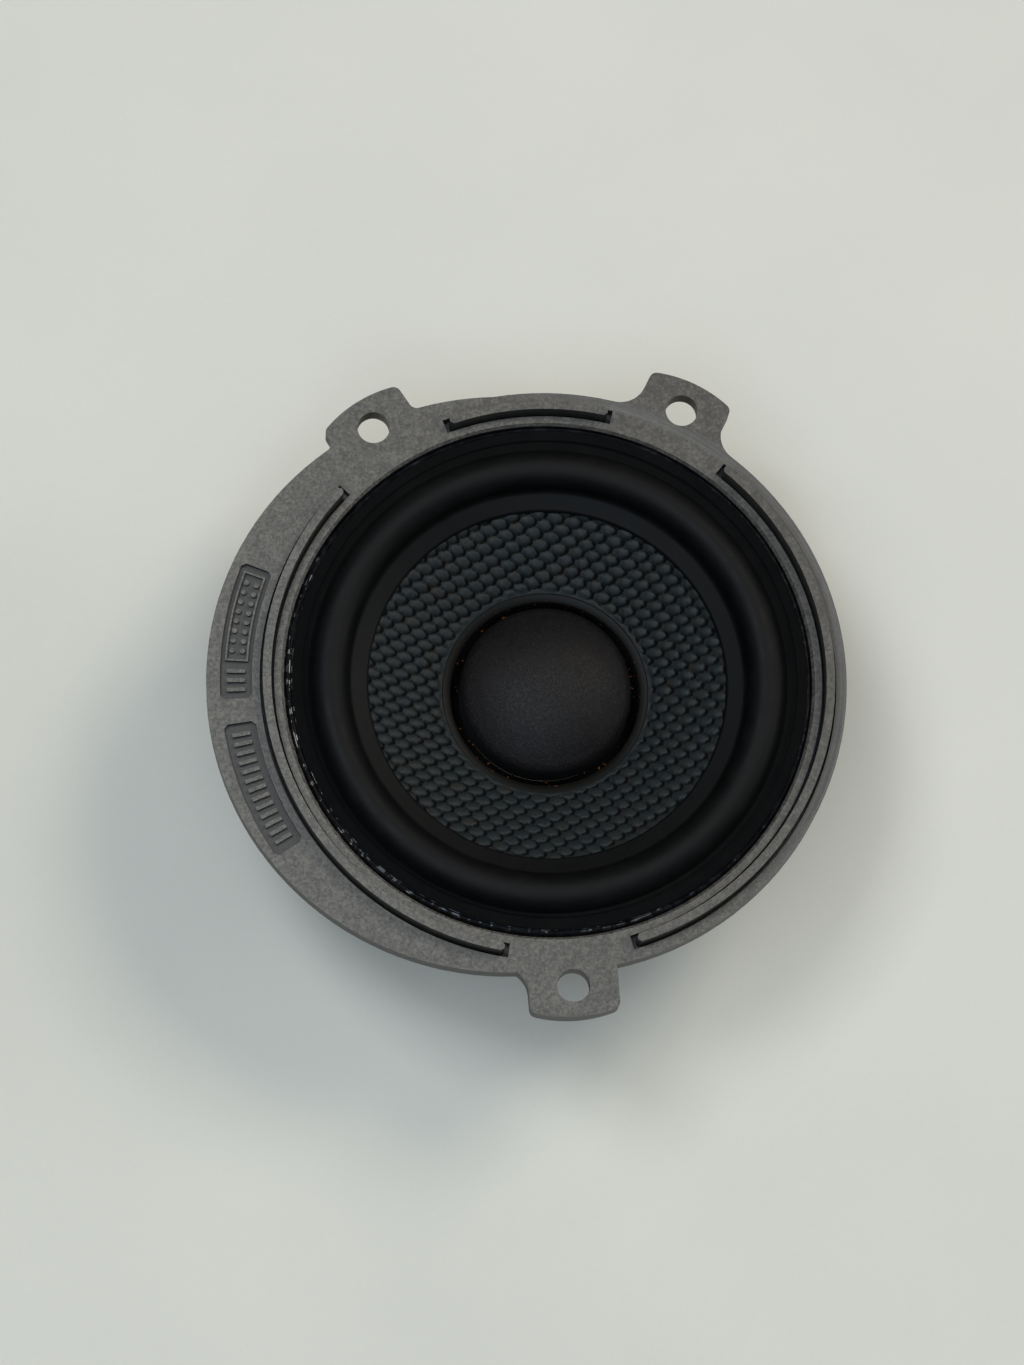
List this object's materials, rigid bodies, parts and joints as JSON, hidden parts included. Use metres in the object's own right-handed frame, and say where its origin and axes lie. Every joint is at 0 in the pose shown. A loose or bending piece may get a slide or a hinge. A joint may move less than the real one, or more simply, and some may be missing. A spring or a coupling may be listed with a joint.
{
  "type": "loudspeaker driver",
  "caption": "Small round car loudspeaker driver with a woven cone, rubber roll surround, domed cap, moulded basket with three mounting ears and an internal-magnet motor.",
  "frame": {"origin": "centre of the flat rear face of the magnet cup", "axes": "+Z along the cone axis towards the listener, +Y away from the single mounting ear"},
  "size_m": [0.098, 0.1009, 0.0374],
  "materials": {
    "basket": "moulded, fine grain",
    "gasket_foam": "matte foam",
    "black_adhesive": "gloss",
    "motor_steel": "dark electrocoat",
    "magnet": "nickel plated",
    "pole_steel": "zinc plated",
    "connector_plastic": "moulded",
    "tin_plate": "tin plated",
    "solder": "bright solder",
    "surround_rubber": "matte",
    "woven_cone": "woven fibre, coated",
    "collar_plastic": "satin",
    "cap_fabric": "coated fabric",
    "former_film": "amber film",
    "sleeve_paper": "matte",
    "copper_wire": "enamelled copper",
    "spider_cloth": "resin dipped cloth",
    "tinsel_braid": "braided"
  },
  "bodies": {
    "frame_assembly": {"basket": "basket", "rear_gasket": "gasket_foam", "glue_bead": "black_adhesive", "magnet_cup": "motor_steel", "magnet_disc": "magnet", "pole_plate": "pole_steel", "terminal_housing": "connector_plastic", "terminal_positive": "tin_plate", "terminal_negative": "tin_plate", "terminal_solder": "solder"},
    "cone_assembly": {"surround": "surround_rubber", "cone": "woven_cone", "neck_collar": "collar_plastic", "dust_cap": "cap_fabric", "coil_former": "former_film", "former_sleeve": "sleeve_paper", "voice_coil": "copper_wire", "coil_tail_positive": "copper_wire", "coil_tail_negative": "copper_wire", "coil_solder": "solder", "spider": "spider_cloth", "tinsel_lead_positive": "tinsel_braid", "tinsel_lead_negative": "tinsel_braid"}
  },
  "joints": [
    {"name": "cone_travel", "type": "slide", "parent": "frame_assembly", "child": "cone_assembly", "axis": [0, 0, 1], "range_m": [-0.003, 0.003], "stiffness_N_per_m": 1500, "deforming": ["surround", "spider", "tinsel_lead_positive", "tinsel_lead_negative"]}
  ]
}
